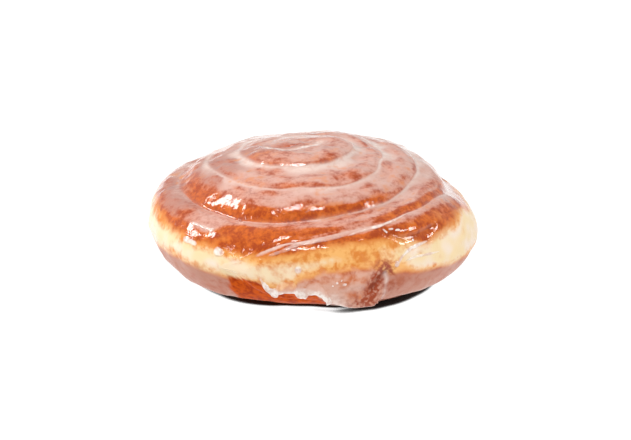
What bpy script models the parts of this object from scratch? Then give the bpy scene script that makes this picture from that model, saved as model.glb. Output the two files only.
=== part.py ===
"""A coffee roll: one strip of sweet dough coiled flat, proved and fried until it domes, with the strip's
tapering tail wrapped round the front and its lower corner drooping to the table.

Metres, +Z up. The origin is under the middle of the roll, on the table; +X is the roll's right and -Y its
front. Run it with blender --background --python part.py, or from Blender's text editor.

The strip is followed from the middle of the coil outwards. "turns" counts how often it has gone round.
Everywhere along it the strip has a top skin and an under skin. Each runs from the crease on the strip's
inner side to the crease on its outer side, and on the last turn the outer side is the roll's girth.
"""

import math

import bmesh
import bpy
import numpy as np
from mathutils import Vector, noise

# Driving sizes.
GIRTH_RADIUS = 0.0600
GIRTH_HEIGHT = 0.0180
GIRTH_TILT = 0.0022
DOME_BASE = 0.0190
DOME_HEIGHT = 0.0275
FOOT_RADIUS = 0.0285
FOOT_SHIFT = 0.0050
FOOT_SHIFT_ANGLE = math.radians(50)
BELLY_POWER = 1.8
COIL_MIDDLE = (-0.0034, 0.0010)
STRIP_WIDTH = 0.0111
CORE_RADIUS = 0.0111
FRONT = math.radians(300)
BACK_RELIEF = 0.35

# Places along the strip, in turns. The turn that starts at 3.6 has its step at the roll's right.
FIRST_CREASE_ANGLE = math.radians(230)
CURL_END = 0.20
CREASES_END = 3.975
STRIP_END = CREASES_END + 1.0
TAIL_TAPER = 0.050

# How far the top crease strays outwards from an even spiral, as (turns, distance) pairs.
CREASE_STRAYS = (
    (1.50, 0.0000),
    (1.60, -0.0020),
    (1.68, 0.0000),
    (1.75, 0.0022),
    (1.82, 0.0034),
    (1.90, 0.0024),
    (2.10, 0.0000),
    (2.62, 0.0000),
    (2.72, 0.0016),
    (2.80, 0.0020),
    (2.93, 0.0028),
    (3.03, 0.0000),
    (3.40, 0.0000),
    (3.54, 0.0030),
    (3.68, 0.0000),
    (3.84, 0.0000),
    (3.90, 0.0019),
    (3.94, 0.0038),
)

# How far the top crease lies under the dome, as (turns, depth) pairs.
TOP_CREASE_DEPTHS = (
    (0.00, 0.0000),
    (0.20, 0.0014),
    (2.00, 0.0012),
    (2.60, 0.0016),
    (2.85, 0.0040),
    (3.12, 0.0048),
    (3.30, 0.0048),
    (3.42, 0.0026),
    (3.60, 0.0075),
    (3.74, 0.0014),
    (3.90, 0.0014),
)
UNDER_CREASE_DEPTH = 0.0020
SETTLED = 0.0008
SETTLED_BLUNTNESS = 0.0004

# Angles at which the skins leave the inner crease and reach the outer one.
TOP_RISE_ANGLE = math.radians(28)
SIDE_RISES = (
    (4.20, 1.00),
    (4.45, -0.35),
    (4.62, -0.35),
    (4.78, 1.00),
)
TOP_WALL_ANGLE = math.radians(-84)
UNDER_DIP_ANGLE = math.radians(-50)
UNDER_WALL_ANGLE = math.radians(68)
UPRIGHT = math.radians(90)
FULLNESS = 0.38
BELLY_FULLNESS = 0.20

# The drooping corner of the tail.
DROOP_EDGE = math.radians(297)
DROOP_EDGE_WIDTH = math.radians(3)
DROOP_WIDTH = math.radians(26)
DROOP_TOP = 0.0150
DROOP_REACH = 0.0032

# The tail's lower edge, where it stands proud of the bare base, as (angle, height) pairs.
TAIL_HEM = (
    (math.radians(244), 0.0190),
    (math.radians(254), 0.0130),
    (math.radians(268), 0.0115),
    (math.radians(277), 0.0075),
    (math.radians(286), 0.0000),
)
FRONT_STARTS = 0.0340
FRONT_ENDS = 0.0430
HEM_STEP = 0.0013
HEM_BLUNTNESS = 0.0012

# Unevenness of the dough.
LUMP_SEED = 74
LUMP_LENGTH = 0.0240
LUMP_SIZE = 0.0011
LUMP_FADE = 0.0080

# Fineness of the mesh.
STEPS_PER_TURN = 80
TOP_STEPS = 8
UNDER_STEPS = 5
WELD = 1e-6

CRUST_COLOUR = (0.62, 0.30, 0.13, 1.0)
CRUST_ROUGHNESS = 0.35


def smooth(value, low, high):
    """0 below low, 1 above high and an even S between them."""
    share = np.clip((value - low) / (high - low), 0.0, 1.0)
    return share * share * (3.0 - 2.0 * share)


def direction(turns):
    """The strip winds clockwise, seen from above, as it goes outwards."""
    return FIRST_CREASE_ANGLE - 2.0 * math.pi * turns


def girth_radius(angle):
    """Distance from the coil's middle to the widest line, which is centred on the origin."""
    along = COIL_MIDDLE[0] * np.cos(angle) + COIL_MIDDLE[1] * np.sin(angle)
    offset = COIL_MIDDLE[0] ** 2 + COIL_MIDDLE[1] ** 2
    return -along + np.sqrt(along**2 + GIRTH_RADIUS**2 - offset)


def distance_from_axis(radius, angle):
    """Radius about the coil's middle turned into radius about the roll's own axis."""
    x = COIL_MIDDLE[0] + radius * np.cos(angle)
    y = COIL_MIDDLE[1] + radius * np.sin(angle)
    return np.minimum(np.hypot(x, y), GIRTH_RADIUS)


def girth_height(angle):
    """The widest line dips towards the right, where the outermost turn has slumped."""
    return GIRTH_HEIGHT - GIRTH_TILT * np.cos(angle)


def dome(distance):
    return DOME_BASE + DOME_HEIGHT * np.sqrt(1.0 - (distance / GIRTH_RADIUS) ** 2)


def belly(distance, angle):
    foot = FOOT_RADIUS + FOOT_SHIFT * np.cos(angle - FOOT_SHIFT_ANGLE)
    share = np.clip((distance - foot) / (GIRTH_RADIUS - foot), 0.0, 1.0)
    return girth_height(angle) * (1.0 - (1.0 - share**BELLY_POWER) ** (1.0 / BELLY_POWER))


def relief(turns):
    """The coil stands out fully at the front and is smoothed over towards the back."""
    facing = smooth(np.cos(direction(turns) - FRONT), -0.6, 0.4)
    return BACK_RELIEF + (1.0 - BACK_RELIEF) * facing


def eased(value, pairs):
    """A smooth curve through (value, result) pairs, level at each of them."""
    result = np.full(np.shape(value), pairs[0][1], float)
    for (low, before), (high, after) in zip(pairs, pairs[1:]):
        result = result + (after - before) * smooth(value, low, high)
    return result


def crease(turns):
    """Radius about the coil's middle and height of the strip's outer edge, on top and underneath."""
    turns = np.asarray(turns, float)
    angle = direction(turns)
    rim = girth_radius(angle)
    along = np.maximum(turns, 0.0)
    curled = smooth(along, 0.0, CURL_END)
    to_rim = smooth(turns, CREASES_END - TAIL_TAPER, CREASES_END)

    even = CORE_RADIUS + STRIP_WIDTH * along
    top_radius = np.minimum((even + eased(along, CREASE_STRAYS)) * curled, rim)
    top_radius = top_radius * (1.0 - to_rim) + rim * to_rim
    top = dome(distance_from_axis(top_radius, angle)) - relief(turns) * eased(along, TOP_CREASE_DEPTHS)
    top = top * (1.0 - to_rim) + girth_height(angle) * to_rim

    under_radius = np.minimum(even * curled, rim) * (1.0 - to_rim) + rim * to_rim
    under = belly(distance_from_axis(under_radius, angle), angle) + UNDER_CREASE_DEPTH * curled - SETTLED
    under = under * (1.0 - to_rim) + girth_height(angle) * to_rim
    return (top_radius, top), (under_radius, under)


def arc(start, leaving, end, arriving, end_fullness, share):
    """A cubic curve from start to end in the plane of radius and height, with these slopes at its ends."""
    chord = np.hypot(end[0] - start[0], end[1] - start[1])
    early, late = FULLNESS * chord, end_fullness * chord
    handles = (
        (start[0], start[1]),
        (start[0] + early * np.cos(leaving), start[1] + early * np.sin(leaving)),
        (end[0] - late * np.cos(arriving), end[1] - late * np.sin(arriving)),
        (end[0], end[1]),
    )
    weights = (
        (1.0 - share) ** 3,
        3.0 * share * (1.0 - share) ** 2,
        3.0 * share**2 * (1.0 - share),
        share**3,
    )
    radius = sum(w * h[0] for w, h in zip(weights, handles))
    height = sum(w * h[1] for w, h in zip(weights, handles))
    return radius, height


def skin(turns, share, on_top):
    """Points of the top or under skin, at these turns along the strip and shares across it."""
    inner_top, inner_under = crease(turns - 1.0)
    outer_top, outer_under = crease(turns)
    creased_in = smooth(turns - 1.0, 0.0, CURL_END)
    creased_out = smooth(turns, 0.0, CURL_END)
    at_girth = smooth(turns, CREASES_END - TAIL_TAPER, CREASES_END)
    closing = smooth(turns, STRIP_END - TAIL_TAPER, STRIP_END)
    if on_top:
        rise = TOP_RISE_ANGLE * relief(turns) * eased(turns, SIDE_RISES)
        leaving = rise * creased_in * (1.0 - closing) - UPRIGHT * closing
        arriving = TOP_WALL_ANGLE * relief(turns) * creased_out * (1.0 - at_girth) - UPRIGHT * at_girth
        radius, height = arc(inner_top, leaving, outer_top, arriving, FULLNESS, share)
    else:
        leaving = UNDER_DIP_ANGLE * creased_in * (1.0 - closing) + UPRIGHT * closing
        arriving = UNDER_WALL_ANGLE * creased_out * (1.0 - at_girth) + UPRIGHT * at_girth
        end_fullness = FULLNESS * (1.0 - at_girth) + BELLY_FULLNESS * at_girth
        radius, height = arc(inner_under, leaving, outer_under, arriving, end_fullness, share)
    angle = direction(turns)
    x = COIL_MIDDLE[0] + radius * np.cos(angle)
    y = COIL_MIDDLE[1] + radius * np.sin(angle)
    return np.stack([x, y, height], axis=-1)


def lumps(points):
    """The slow unevenness of proved dough, as an offset for each point. The flat foot gets none upwards."""
    noise.seed_set(LUMP_SEED)
    offsets = LUMP_SIZE * np.array([noise.noise_vector(Vector(p) / LUMP_LENGTH) for p in points], float)
    offsets[:, 2] *= smooth(points[:, 2], 0.0, LUMP_FADE)
    return offsets


def droop(points):
    """Pushes the tail's lower corner out and down to the table."""
    angle = np.mod(np.arctan2(points[:, 1], points[:, 0]), 2.0 * math.pi)
    inside_edge = 1.0 - smooth(angle, DROOP_EDGE - DROOP_EDGE_WIDTH, DROOP_EDGE)
    across = inside_edge * smooth(angle, DROOP_EDGE - DROOP_WIDTH, DROOP_EDGE - 0.4 * DROOP_WIDTH)
    low = 1.0 - smooth(points[:, 2], 0.35 * DROOP_TOP, DROOP_TOP)
    outside = smooth(np.hypot(points[:, 0], points[:, 1]), FRONT_STARTS, FRONT_ENDS)
    push = DROOP_REACH * across * low * outside
    moved = points.copy()
    moved[:, 0] += push * np.cos(angle)
    moved[:, 1] += push * np.sin(angle)
    moved[:, 2] -= 0.3 * push
    return moved


def hem(points):
    """Sets the base back under the tail's lower edge."""
    angle = np.mod(np.arctan2(points[:, 1], points[:, 0]), 2.0 * math.pi)
    line = eased(angle, TAIL_HEM)
    starting = smooth(angle, TAIL_HEM[0][0], TAIL_HEM[1][0])
    ending = smooth(angle, TAIL_HEM[-2][0], TAIL_HEM[-1][0])
    below = 1.0 - smooth(points[:, 2], line - HEM_BLUNTNESS, line + HEM_BLUNTNESS)
    outside = smooth(np.hypot(points[:, 0], points[:, 1]), FRONT_STARTS, FRONT_ENDS)
    set_back = HEM_STEP * starting * (1.0 - ending) * below * outside
    moved = points.copy()
    moved[:, 0] -= set_back * np.cos(angle)
    moved[:, 1] -= set_back * np.sin(angle)
    return moved


def shaped(points):
    """Lumps, the tail's lower edge and drooping corner, and the flat foot that the roll stands on."""
    points = points + lumps(points)
    points = droop(hem(points))
    lift = np.clip(points[:, 2] / (2.0 * SETTLED_BLUNTNESS) + 0.5, 0.0, 1.0)
    points[:, 2] = np.maximum(points[:, 2], SETTLED_BLUNTNESS * lift**2)
    return points


def coil(steps_per_turn, top_steps, under_steps):
    """Rolls a flat grid up along the strip for each skin, and welds the two into one closed body."""
    body = bmesh.new()
    for on_top, steps_across in ((True, top_steps), (False, under_steps)):
        skin_mesh = bmesh.new()
        bmesh.ops.create_grid(
            skin_mesh,
            x_segments=round(STRIP_END * steps_per_turn),
            y_segments=steps_across,
            size=0.5,
        )
        flat = np.array([v.co for v in skin_mesh.verts], float)
        turns = np.round(STRIP_END * steps_per_turn * (flat[:, 0] + 0.5)) / steps_per_turn
        points = shaped(skin(turns, flat[:, 1] + 0.5, on_top))
        for vert, point in zip(skin_mesh.verts, points):
            vert.co = point
        rolled = bpy.data.meshes.new("rolled")
        skin_mesh.to_mesh(rolled)
        skin_mesh.free()
        body.from_mesh(rolled)
        bpy.data.meshes.remove(rolled)
    bmesh.ops.remove_doubles(body, verts=body.verts, dist=WELD)
    bmesh.ops.dissolve_degenerate(body, edges=body.edges, dist=WELD)
    bmesh.ops.recalc_face_normals(body, faces=body.faces)
    bmesh.ops.triangulate(body, faces=body.faces)
    return body


def centre_on_table(body):
    """Moves the body so that the origin is under the middle of its box."""
    points = np.array([v.co for v in body.verts], float)
    middle = (points.min(axis=0) + points.max(axis=0)) / 2.0
    offset = Vector((-middle[0], -middle[1], -points[:, 2].min()))
    bmesh.ops.translate(body, verts=body.verts, vec=offset)


def crust_material():
    material = bpy.data.materials.new("glazed_crust")
    material.use_nodes = True
    shader = material.node_tree.nodes["Principled BSDF"]
    shader.inputs["Base Color"].default_value = CRUST_COLOUR
    shader.inputs["Roughness"].default_value = CRUST_ROUGHNESS
    shader.inputs["Metallic"].default_value = 0.0
    return material


def main():
    for obj in list(bpy.data.objects):
        bpy.data.objects.remove(obj, do_unlink=True)
    collection = bpy.data.collections.new("coffee_roll")
    bpy.context.scene.collection.children.link(collection)

    body = coil(STEPS_PER_TURN, TOP_STEPS, UNDER_STEPS)
    centre_on_table(body)
    mesh = bpy.data.meshes.new("dough")
    body.to_mesh(mesh)
    body.free()
    mesh.materials.append(crust_material())
    mesh.shade_smooth()
    collection.objects.link(bpy.data.objects.new("dough", mesh))


main()
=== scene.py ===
# %% [markdown]
# # A glazed coffee roll
#
# A coffee roll is a strip of sweet dough, coiled flat, proved, fried and dipped in a thin sugar glaze.
# This lesson builds one in Blender, round a solid that has been made already and that gives the size.
# First comes the frame: it loads the solid, and its box says how large everything that follows may be.

import math

import bmesh
import bpy
import numpy as np
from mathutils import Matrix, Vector, noise
from mathutils.bvhtree import BVHTree
from mathutils.kdtree import KDTree


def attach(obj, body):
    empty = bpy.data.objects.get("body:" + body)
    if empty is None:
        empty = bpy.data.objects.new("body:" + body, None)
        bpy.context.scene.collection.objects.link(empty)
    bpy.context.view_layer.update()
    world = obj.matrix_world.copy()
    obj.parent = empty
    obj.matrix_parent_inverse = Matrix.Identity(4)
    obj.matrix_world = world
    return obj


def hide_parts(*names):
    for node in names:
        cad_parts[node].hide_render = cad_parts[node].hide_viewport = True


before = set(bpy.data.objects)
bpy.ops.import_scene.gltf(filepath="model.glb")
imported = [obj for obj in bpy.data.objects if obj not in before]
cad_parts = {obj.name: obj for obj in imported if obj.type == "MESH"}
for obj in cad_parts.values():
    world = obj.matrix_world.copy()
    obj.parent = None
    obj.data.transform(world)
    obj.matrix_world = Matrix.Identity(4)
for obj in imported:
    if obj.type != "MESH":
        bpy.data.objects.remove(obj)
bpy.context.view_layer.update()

# %% [markdown]
# ## Camera and light
#
# A roll on a plain white sweep stands in pale surroundings, with a wide soft lamp above and in front of it, a
# taller one at the left and two weaker ones low at the sides. The surroundings matter as much as the lamps.
# Glaze seen at a shallow angle mirrors them, which is why the top of a glazed roll looks pale while its front
# stays a deep brown. The camera is a long lens from well back, so that the near edge isn't drawn too large.

# %% Camera
CAMERA_ELEVATION = math.radians(20)
CAMERA_DISTANCE = 0.75
CAMERA_AIM = Vector((0.0007, 0.0, 0.0187))
FOCAL_LENGTH = 116.8


def put(name, data):
    """A new object in the scene."""
    thing = bpy.data.objects.new(name, data)
    bpy.context.scene.collection.objects.link(thing)
    return thing


camera_data = bpy.data.cameras.new("camera")
camera_data.lens = FOCAL_LENGTH
camera_data.sensor_width = 36.0
camera_data.clip_start = 0.05
camera = put("camera", camera_data)
back_from_aim = Vector((0.0, -math.cos(CAMERA_ELEVATION), math.sin(CAMERA_ELEVATION)))
camera.location = CAMERA_AIM + CAMERA_DISTANCE * back_from_aim
camera.rotation_euler = (math.radians(90) - CAMERA_ELEVATION, 0.0, 0.0)
bpy.context.scene.camera = camera
bpy.context.scene.view_settings.view_transform = "Standard"
print("camera", round(CAMERA_DISTANCE * 1000), "mm away")

# %% Surroundings
ROOM_FRONT, ROOM_BACK = 0.3, 0.6
ROOM_TURNS = (-0.7, 0.8)


def smooth_ramp(nodes, value, low, high, start=0.0, end=1.0):
    """A node that gives start where value is low, end where it is high, and an even S between them."""
    ramp = nodes.nodes.new("ShaderNodeMapRange")
    ramp.interpolation_type = "SMOOTHSTEP"
    nodes.links.new(value, ramp.inputs["Value"])
    for name, number in (("From Min", low), ("From Max", high), ("To Min", start), ("To Max", end)):
        ramp.inputs[name].default_value = number
    return ramp.outputs["Result"]


world = bpy.data.worlds.new("studio")
world.use_nodes = True
room = world.node_tree
room_direction = room.nodes.new("ShaderNodeTexCoord")
room_axes = room.nodes.new("ShaderNodeSeparateXYZ")
room.links.new(room_direction.outputs["Generated"], room_axes.inputs["Vector"])
room_brightness = smooth_ramp(room, room_axes.outputs["Y"], *ROOM_TURNS, ROOM_FRONT, ROOM_BACK)
room.links.new(room_brightness, room.nodes["Background"].inputs["Strength"])
room.nodes["Background"].inputs["Color"].default_value = (1.0, 1.0, 1.0, 1.0)
bpy.context.scene.world = world
print("room: brightness", ROOM_FRONT, "in front to", ROOM_BACK, "behind")

# %% Lamps
LAMP_AIM = Vector((0.0, 0.0, 0.02))
LAMPS = (
    ("overhead_softbox", (-0.06, -0.42, 0.76), (0.34, 0.15), 3.4),
    ("left_softbox", (-0.74, 0.14, 0.52), (0.2, 0.34), 3.9),
    ("front_left_strip", (-0.65, -0.36, 0.31), (0.06, 0.14), 0.3),
    ("right_softbox", (0.76, -0.27, 0.44), (0.1, 0.3), 1.6),
)
for name, place, size, watts in LAMPS:
    lamp_data = bpy.data.lights.new(name, "AREA")
    lamp_data.shape = "RECTANGLE"
    lamp_data.size, lamp_data.size_y = size
    lamp_data.energy = watts
    lamp = put(name, lamp_data)
    lamp.location = place
    lamp.rotation_euler = (LAMP_AIM - Vector(place)).to_track_quat("-Z", "Y").to_euler()
print("lamps:", len(bpy.data.lights))

# %% [markdown]
# ## The floor
#
# The floor is one large pale sheet, lit from below as well, as a light table is. It glows wherever nothing
# stands over it, so the only shadow left on it is the dark line close to where the roll sits.

# %% Floor
FLOOR_HALF_SIDE = 3.0
FLOOR_GAP = 0.0001
FLOOR_GLOW = 1.05
SHADOW_REACH = 0.003
SHADOW_FADE = (0.6, 0.9)


def principled(name, **values):
    """A new material with one Principled BSDF, its sockets set by name. Underscores stand for spaces."""
    material = bpy.data.materials.new(name)
    material.use_nodes = True
    shader = material.node_tree.nodes["Principled BSDF"]
    for socket, value in values.items():
        shader.inputs[socket.replace("_", " ")].default_value = value
    return material, shader


floor_material, floor_shader = principled(
    "pale_sweep", Base_Color=(0.05, 0.05, 0.05, 1.0), Roughness=0.9, Emission_Color=(1.0, 1.0, 1.0, 1.0)
)
floor_nodes = floor_material.node_tree
openness = floor_nodes.nodes.new("ShaderNodeAmbientOcclusion")
openness.inputs["Distance"].default_value = SHADOW_REACH
glow = smooth_ramp(floor_nodes, openness.outputs["AO"], *SHADOW_FADE, 0.0, FLOOR_GLOW)
floor_nodes.links.new(glow, floor_shader.inputs["Emission Strength"])
floor_mesh = bpy.data.meshes.new("floor")
corners = [(-1, -1), (1, -1), (1, 1), (-1, 1)]
floor_points = [(x * FLOOR_HALF_SIDE, y * FLOOR_HALF_SIDE, -FLOOR_GAP) for x, y in corners]
floor_mesh.from_pydata(floor_points, [], [(0, 1, 2, 3)])
floor_mesh.materials.append(floor_material)
floor = put("floor", floor_mesh)
print("floor", 2 * FLOOR_HALF_SIDE, "m wide")

# %% [markdown]
# ## The coil
#
# The whole roll is one strip. It could be sculpted, or made as a stack of rings, but rings don't join up and
# a sculpt isn't repeatable. Here a flat grid is rolled up by a formula instead: its long side runs along
# the strip, counted in turns, and its short side runs across the strip from one crease to the next. Because
# the outer crease of one turn is the inner crease of the next, neighbouring turns share their points and the
# coil closes by itself.

# %% Sizes of the coil
GIRTH_RADIUS = 0.06
GIRTH_HEIGHT = 0.018
GIRTH_TILT = 0.0022
DOME_BASE = 0.019
DOME_HEIGHT = 0.0275
FOOT_RADIUS = 0.0285
FOOT_SHIFT = 0.005
FOOT_SHIFT_ANGLE = math.radians(50)
BELLY_POWER = 1.8
COIL_MIDDLE = (-0.0034, 0.001)
STRIP_WIDTH = 0.0111
CORE_RADIUS = 0.0111
FRONT = math.radians(300)
BACK_RELIEF = 0.35
FIRST_CREASE_ANGLE = math.radians(230)
CURL_END = 0.2
CREASES_END = 3.975
STRIP_END = CREASES_END + 1.0
TAIL_TAPER = 0.05


def smooth(value, low, high):
    """0 below low, 1 above high and an even S between them."""
    share = np.clip((value - low) / (high - low), 0.0, 1.0)
    return share * share * (3.0 - 2.0 * share)


def step(value, edge, softness):
    """0 below the edge and 1 above it."""
    return smooth(value, edge - softness, edge + softness)


def eased(value, pairs):
    """A smooth curve through (value, result) pairs, level at each of them."""
    result = np.full(np.shape(value), pairs[0][1], float)
    for (low, before), (high, after) in zip(pairs, pairs[1:]):
        result = result + (after - before) * smooth(value, low, high)
    return result


def by_compass(*pairs):
    """A table whose first column is a compass direction, given in degrees."""
    return tuple((math.radians(turn), value) for turn, value in pairs)


def bell(value, middle, half_width):
    """1 at the middle, fading to nothing at about twice the half width."""
    return np.exp(-(((value - middle) / half_width) ** 2))


def direction(turns):
    """The strip winds clockwise, seen from above, as it goes outwards."""
    return FIRST_CREASE_ANGLE - 2.0 * math.pi * turns


# %% [markdown]
# The coil lies on two smooth forms: a dome above and a bowl-shaped belly below. They meet at the girth, the
# roll's widest line.

# %% Dome and belly
def girth_radius(angle):
    """Distance from the coil's middle to the widest line, which is centred on the origin."""
    along = COIL_MIDDLE[0] * np.cos(angle) + COIL_MIDDLE[1] * np.sin(angle)
    offset = COIL_MIDDLE[0] ** 2 + COIL_MIDDLE[1] ** 2
    return -along + np.sqrt(along**2 + GIRTH_RADIUS**2 - offset)


def round_middle(radius, angle):
    """Coordinates of places at this radius about the coil's middle."""
    return COIL_MIDDLE[0] + radius * np.cos(angle), COIL_MIDDLE[1] + radius * np.sin(angle)


def distance_from_axis(radius, angle):
    """Radius about the coil's middle turned into radius about the roll's own axis."""
    return np.minimum(np.hypot(*round_middle(radius, angle)), GIRTH_RADIUS)


def girth_height(angle):
    """The widest line dips towards the right, where the outermost turn has slumped."""
    return GIRTH_HEIGHT - GIRTH_TILT * np.cos(angle)


def dome(distance):
    return DOME_BASE + DOME_HEIGHT * np.sqrt(1.0 - (distance / GIRTH_RADIUS) ** 2)


def belly(distance, angle):
    foot = FOOT_RADIUS + FOOT_SHIFT * np.cos(angle - FOOT_SHIFT_ANGLE)
    share = np.clip((distance - foot) / (GIRTH_RADIUS - foot), 0.0, 1.0)
    return girth_height(angle) * (1.0 - (1.0 - share**BELLY_POWER) ** (1.0 / BELLY_POWER))


# %% [markdown]
# A hand-rolled strip is never even. These tables say where its crease strays from a perfect spiral and how
# deep it is at each place, as pairs of turns and metres. The deepest place is at the roll's right, where the
# outermost turn has sagged away and left a step.

# %% The crease between turns
CREASE_STRAYS = (
    (1.5, 0.0), (1.6, -0.002), (1.68, 0.0), (1.75, 0.0022), (1.82, 0.0034), (1.9, 0.0024), (2.1, 0.0),
    (2.62, 0.0), (2.72, 0.0016), (2.8, 0.002), (2.93, 0.0028), (3.03, 0.0), (3.4, 0.0), (3.54, 0.003),
    (3.68, 0.0), (3.84, 0.0), (3.9, 0.0019), (3.94, 0.0038),
)
TOP_CREASE_DEPTHS = (
    (0.0, 0.0), (0.2, 0.0014), (2.0, 0.0012), (2.6, 0.0016), (2.85, 0.004), (3.12, 0.0048), (3.3, 0.0048),
    (3.42, 0.0026), (3.6, 0.0075), (3.74, 0.0014), (3.9, 0.0014),
)
UNDER_CREASE_DEPTH = 0.002
SETTLED = 0.0008
SETTLED_BLUNTNESS = 0.0004


def relief(turns):
    """The coil stands out fully at the front and is smoothed over towards the back."""
    facing = smooth(np.cos(direction(turns) - FRONT), -0.6, 0.4)
    return BACK_RELIEF + (1.0 - BACK_RELIEF) * facing


def crease(turns):
    """Radius about the coil's middle and height of the strip's outer edge, on top and underneath."""
    turns = np.asarray(turns, float)
    angle = direction(turns)
    rim = girth_radius(angle)
    along = np.maximum(turns, 0.0)
    curled = smooth(along, 0.0, CURL_END)
    to_rim = smooth(turns, CREASES_END - TAIL_TAPER, CREASES_END)

    even = CORE_RADIUS + STRIP_WIDTH * along
    top_radius = np.minimum((even + eased(along, CREASE_STRAYS)) * curled, rim)
    top_radius = top_radius * (1.0 - to_rim) + rim * to_rim
    top = dome(distance_from_axis(top_radius, angle)) - relief(turns) * eased(along, TOP_CREASE_DEPTHS)
    top = top * (1.0 - to_rim) + girth_height(angle) * to_rim

    under_radius = np.minimum(even * curled, rim) * (1.0 - to_rim) + rim * to_rim
    under = belly(distance_from_axis(under_radius, angle), angle) + UNDER_CREASE_DEPTH * curled - SETTLED
    under = under * (1.0 - to_rim) + girth_height(angle) * to_rim
    return (top_radius, top), (under_radius, under)


# %% [markdown]
# Between two creases the dough bulges. One cubic curve for each cross-section gives that: its handles set the
# slope at which the skin leaves the inner crease and the steep wall with which it reaches the outer one.

# %% Skins of the strip
TOP_RISE_ANGLE = math.radians(28)
SIDE_RISES = (
    (1.3, 0.6), (1.8, 0.55), (2.45, 0.55), (2.8, 1.0), (4.2, 1.0), (4.45, -0.35), (4.62, -0.35),
    (4.78, 1.0),
)
TOP_WALL_ANGLE = math.radians(-84)
UNDER_DIP_ANGLE = math.radians(-50)
UNDER_WALL_ANGLE = math.radians(68)
UPRIGHT = math.radians(90)
FULLNESS = 0.38
BELLY_FULLNESS = 0.2


def arc(start, leaving, end, arriving, end_fullness, share):
    """A cubic curve from start to end in the plane of radius and height, with these slopes at its ends."""
    chord = np.hypot(end[0] - start[0], end[1] - start[1])
    early, late = FULLNESS * chord, end_fullness * chord
    handles = (
        start,
        (start[0] + early * np.cos(leaving), start[1] + early * np.sin(leaving)),
        (end[0] - late * np.cos(arriving), end[1] - late * np.sin(arriving)),
        end,
    )
    rest = 1.0 - share
    weights = (rest**3, 3.0 * share * rest**2, 3.0 * share**2 * rest, share**3)
    return [sum(weight * handle[axis] for weight, handle in zip(weights, handles)) for axis in (0, 1)]


def skin(turns, share, on_top):
    """Points of the top or under skin, at these turns along the strip and shares across it."""
    creased_in = smooth(turns - 1.0, 0.0, CURL_END)
    creased_out = smooth(turns, 0.0, CURL_END)
    at_girth = smooth(turns, CREASES_END - TAIL_TAPER, CREASES_END)
    closing = smooth(turns, STRIP_END - TAIL_TAPER, STRIP_END)
    if on_top:
        rise = TOP_RISE_ANGLE * relief(turns) * eased(turns, SIDE_RISES)
        wall, upright, end_fullness = TOP_WALL_ANGLE * relief(turns), -UPRIGHT, FULLNESS
    else:
        rise, wall, upright = UNDER_DIP_ANGLE, UNDER_WALL_ANGLE, UPRIGHT
        end_fullness = FULLNESS * (1.0 - at_girth) + BELLY_FULLNESS * at_girth
    leaving = rise * creased_in * (1.0 - closing) + upright * closing
    arriving = wall * creased_out * (1.0 - at_girth) + upright * at_girth
    start, end = (crease(edge)[0 if on_top else 1] for edge in (turns - 1.0, turns))
    radius, height = arc(start, leaving, end, arriving, end_fullness, share)
    return np.stack([*round_middle(radius, direction(turns)), height], axis=-1)


# %% [markdown]
# Proving and frying leave the dough uneven. Slow noise gives the lumps, the tail's lower corner droops to the
# table, the base under the tail sits back a little, and the roll's own weight settles its foot flat.

# %% Lumps, the drooping corner and the foot
LUMP_SEED = 74
LUMP_LENGTH = 0.024
LUMP_SIZE = 0.0011
LUMP_FADE = 0.008
DROOP_EDGE = math.radians(297)
DROOP_EDGE_WIDTH = math.radians(1.8)
DROOP_CUT = math.radians(8)
DROOP_WIDTH = math.radians(26)
DROOP_TOP = 0.015
DROOP_REACH = 0.0027
DROOP_RIM = 0.05
DROOP_RIM_WIDTH = 0.006
DROOP_SINK = 0.9
TAIL_HEM = by_compass((249, 0.0175), (256, 0.0128), (268, 0.0115), (277, 0.0075), (286, 0.0))
FRONT_STARTS = 0.034
FRONT_ENDS = 0.043
HEM_STEP = 0.0013
HEM_BLUNTNESS = 0.0012
TUCK = 0.0034
TUCK_TOP = 0.009
TUCK_ENDS = [math.radians(turn) for turn in (232, 256, 268, 282)]


def noise_vectors(points, length, seed):
    """One smooth random vector for each point. The seed makes it the same every time."""
    noise.seed_set(seed)
    return np.array([noise.noise_vector(Vector(p) / length) for p in points], float)


def lumps(points):
    offsets = LUMP_SIZE * noise_vectors(points, LUMP_LENGTH, LUMP_SEED)
    offsets[:, 2] *= smooth(points[:, 2], 0.0, LUMP_FADE)
    return offsets


def compass(points):
    """Direction of each point round the roll's axis, from 0 to a whole turn."""
    return np.mod(np.arctan2(points[:, 1], points[:, 0]), 2.0 * math.pi)


def moved_out(points, push):
    """Points moved away from the roll's axis."""
    angle = compass(points)
    moved = points.copy()
    moved[:, 0] += push * np.cos(angle)
    moved[:, 1] += push * np.sin(angle)
    return moved


def from_axis(points):
    return np.hypot(points[:, 0], points[:, 1])


def near_rim(points):
    return smooth(from_axis(points), FRONT_STARTS, FRONT_ENDS)


def droop(points):
    """Pushes the tail's lower corner out and down to the table."""
    angle = compass(points)
    edge = DROOP_EDGE - DROOP_CUT * (1.0 - smooth(points[:, 2], 0.002, 0.012))
    inside_edge = 1.0 - smooth(angle, edge - DROOP_EDGE_WIDTH, edge)
    across = inside_edge * smooth(angle, DROOP_EDGE - DROOP_WIDTH, DROOP_EDGE - 0.4 * DROOP_WIDTH)
    low = 1.0 - smooth(points[:, 2], 0.35 * DROOP_TOP, DROOP_TOP)
    push = DROOP_REACH * across * low * smooth(from_axis(points), DROOP_RIM, DROOP_RIM + DROOP_RIM_WIDTH)
    moved = moved_out(points, push)
    moved[:, 2] -= DROOP_SINK * push
    return moved


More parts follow.
